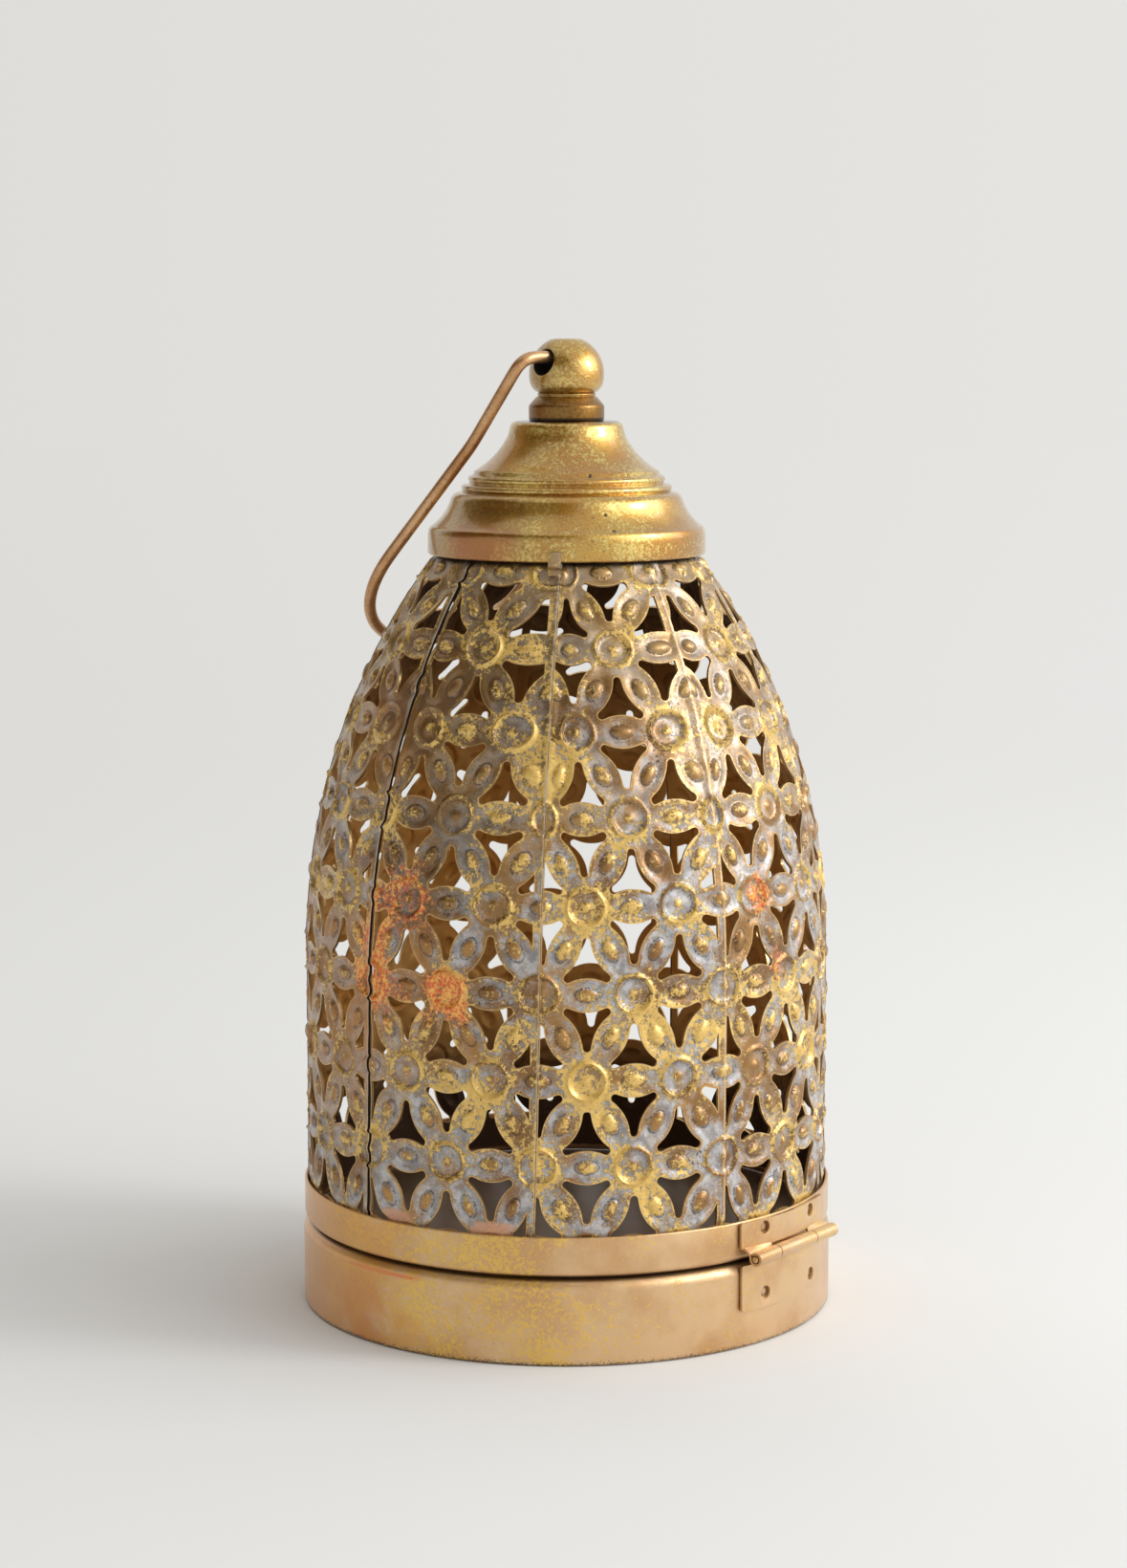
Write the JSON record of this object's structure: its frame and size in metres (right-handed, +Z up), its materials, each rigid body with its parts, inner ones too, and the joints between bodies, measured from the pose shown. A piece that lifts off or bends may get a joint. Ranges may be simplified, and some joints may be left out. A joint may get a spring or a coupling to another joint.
{
  "type": "candle lantern",
  "caption": "Round metal candle lantern: a dome of pierced, embossed gores hinged on a shallow pan, with a spun cap, a ball finial, a wire bail and a hook catch.",
  "frame": {"origin": "on the lantern's axis, in the plane that the rim of the pan stands on", "axes": "+Z up along the lantern's axis, +X from the axis to the hinge, -X to the catch"},
  "size_m": [0.1376, 0.1314, 0.2373],
  "materials": {
    "gilt_sheet": "rubbed gold leaf over a grey and copper patina, satin",
    "copper_satin": "champagne copper with speckled gold, satin",
    "antique_brass": "antique gold, mottled, semi-gloss",
    "bronze_wire": "dark bronze, satin"
  },
  "bodies": {
    "base": {"base_pan": "copper_satin", "hinge_lower_leaf": "copper_satin", "hinge_pin": "copper_satin", "hinge_lower_rivet_1": "copper_satin", "hinge_lower_rivet_2": "copper_satin", "latch_stud": "copper_satin"},
    "shell": {"collar_ring": "copper_satin", "shell_panel_1": "gilt_sheet", "shell_panel_2": "gilt_sheet", "shell_panel_3": "gilt_sheet", "shell_panel_4": "gilt_sheet", "shell_panel_5": "gilt_sheet", "shell_panel_6": "gilt_sheet", "shell_panel_7": "gilt_sheet", "shell_panel_8": "gilt_sheet", "shell_panel_9": "gilt_sheet", "cap": "antique_brass", "finial_washer": "antique_brass", "finial_nut": "antique_brass", "finial": "antique_brass", "hinge_upper_leaf": "copper_satin", "hinge_upper_rivet_1": "copper_satin", "hinge_upper_rivet_2": "copper_satin", "latch_rivet": "copper_satin"},
    "bail": {"bail": "bronze_wire"},
    "latch": {"latch_hook": "copper_satin"}
  },
  "joints": [
    {"name": "shell_hinge", "type": "hinge", "parent": "base", "child": "shell", "pos_m": [0.06741, 0, 0.0223], "axis": [0, 1, 0], "range_deg": [0, 100]},
    {"name": "bail_swing", "type": "hinge", "parent": "shell", "child": "bail", "pos_m": [0, 0, 0.23289], "axis": [0.1132, 0.9936, 0], "range_deg": [0, 291]},
    {"name": "latch_swing", "type": "hinge", "parent": "shell", "child": "latch", "pos_m": [-0.066, 0, 0.0264], "axis": [-1, 0, 0], "range_deg": [0, 65]}
  ]
}
